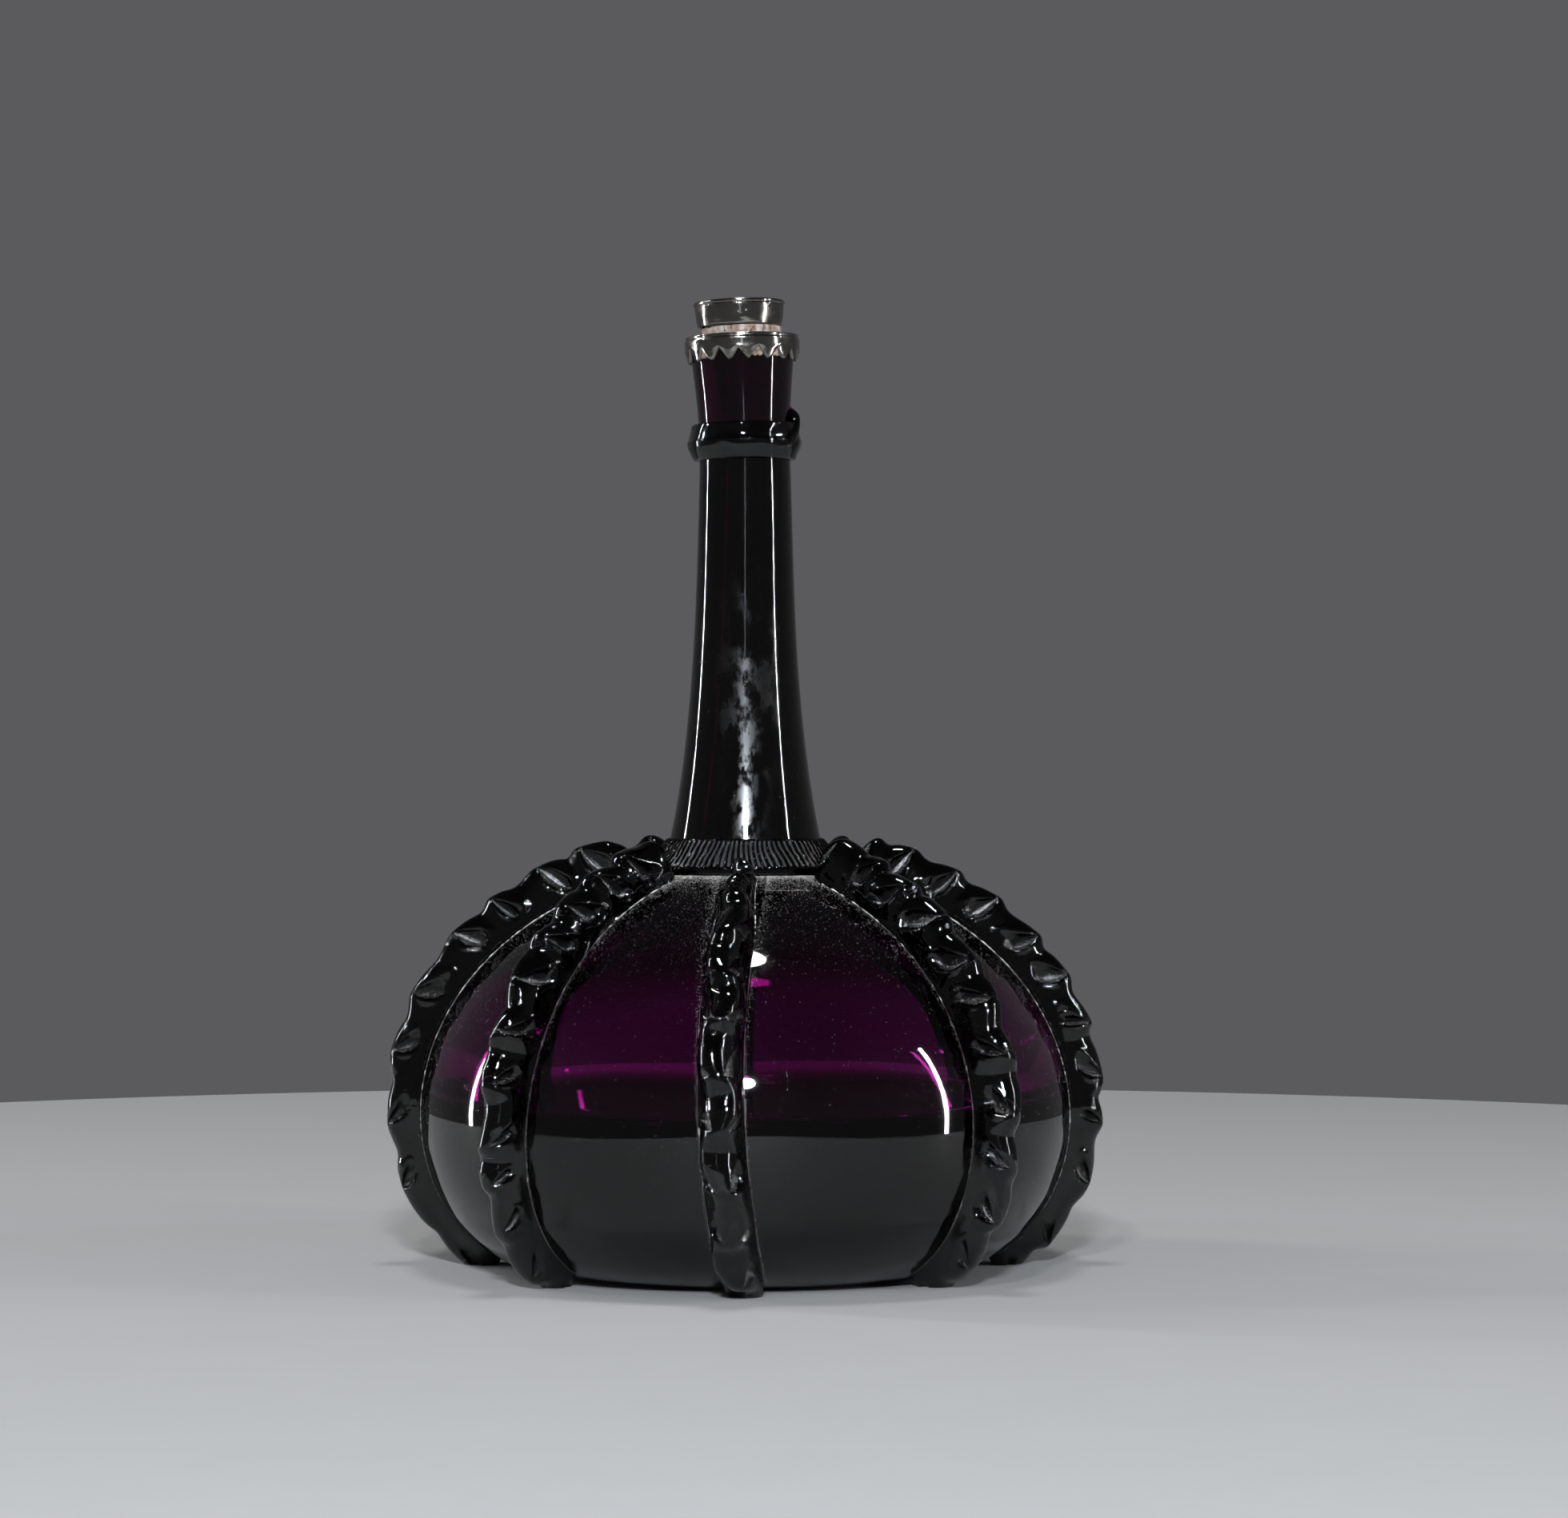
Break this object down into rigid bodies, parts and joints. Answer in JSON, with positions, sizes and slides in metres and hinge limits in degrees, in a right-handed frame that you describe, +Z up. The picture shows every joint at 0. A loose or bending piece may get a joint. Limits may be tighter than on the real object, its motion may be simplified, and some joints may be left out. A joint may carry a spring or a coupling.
{
  "type": "glass bottle",
  "caption": "Squat free-blown dark amethyst glass bottle with a long neck, pinched ribs, a silver mouth mount and a silver-capped cork.",
  "frame": {"origin": "centre of the footprint, on the ground plane", "axes": "+Z up along the neck, -Y towards the viewer, +X to the viewer's right"},
  "size_m": [0.18, 0.1798, 0.2409],
  "materials": {
    "glass": "fire-polished, very dark amethyst",
    "silver": "polished silver with light tarnish and scratches",
    "cork": "weathered cork, matt"
  },
  "bodies": {
    "bottle": {"vessel": "glass", "rib_front": "glass", "rib_front_right": "glass", "rib_right": "glass", "rib_back_right": "glass", "rib_back": "glass", "rib_back_left": "glass", "rib_left": "glass", "rib_front_left": "glass", "neck_foot_collar": "glass", "string_ring": "glass", "mouth_mount": "silver"},
    "stopper": {"cork": "cork", "cap_wall": "silver", "cap_lid": "silver"}
  },
  "joints": [
    {"name": "stopper_lift", "type": "slide", "parent": "bottle", "child": "stopper", "axis": [-0.0332, 0, 0.9995], "range_m": [0, 0.03]}
  ]
}
